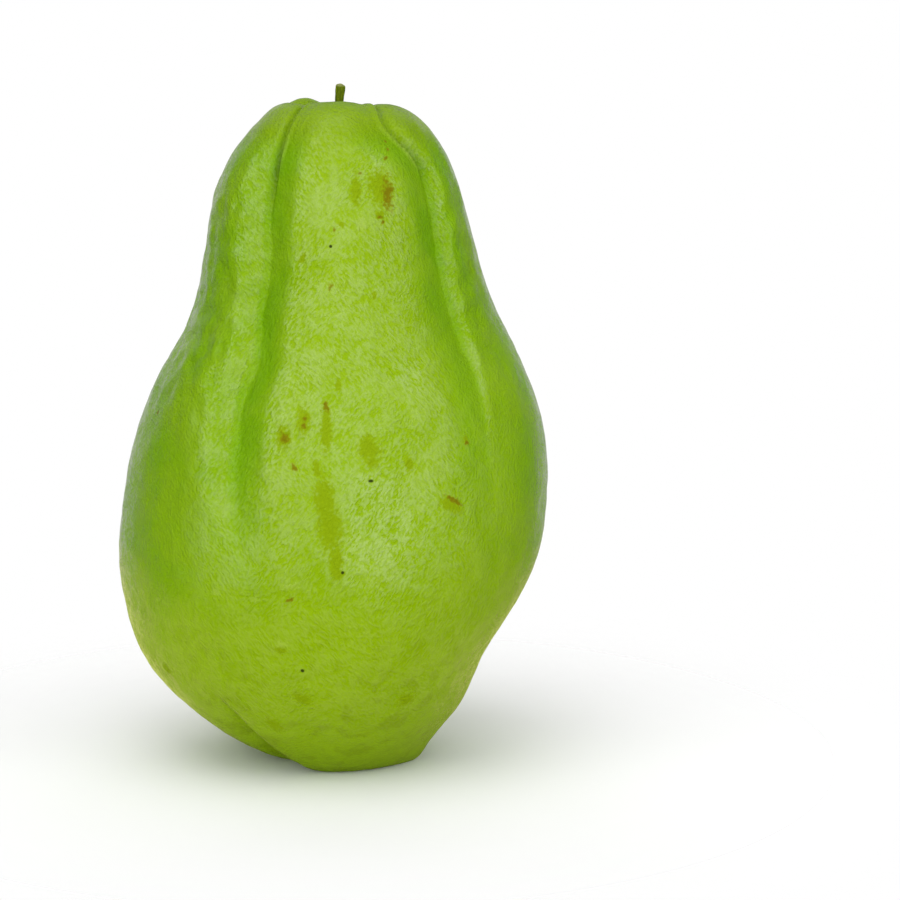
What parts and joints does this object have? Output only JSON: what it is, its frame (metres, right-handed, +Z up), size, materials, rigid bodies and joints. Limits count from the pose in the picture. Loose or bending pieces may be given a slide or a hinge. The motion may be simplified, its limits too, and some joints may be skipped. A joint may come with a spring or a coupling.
{
  "type": "chayote squash",
  "caption": "Whole pear-shaped green chayote with furrowed sides, a folded blossom end that it stands on and a short cut stem.",
  "frame": {"origin": "middle of the foot, under the bounding box's centre, on the surface that the fruit stands on", "axes": "+Z up from the blossom end to the stem, -Y is the front with the broad front lobe, +X to its right"},
  "size_m": [0.0962, 0.084, 0.1516],
  "materials": {
    "skin": "waxy yellow-green fruit skin, satin gloss, finely wrinkled",
    "stem": "dull dark olive stalk with a drier cut end"
  },
  "bodies": {
    "root": {"fruit": "skin", "stem": "stem"}
  },
  "joints": []
}
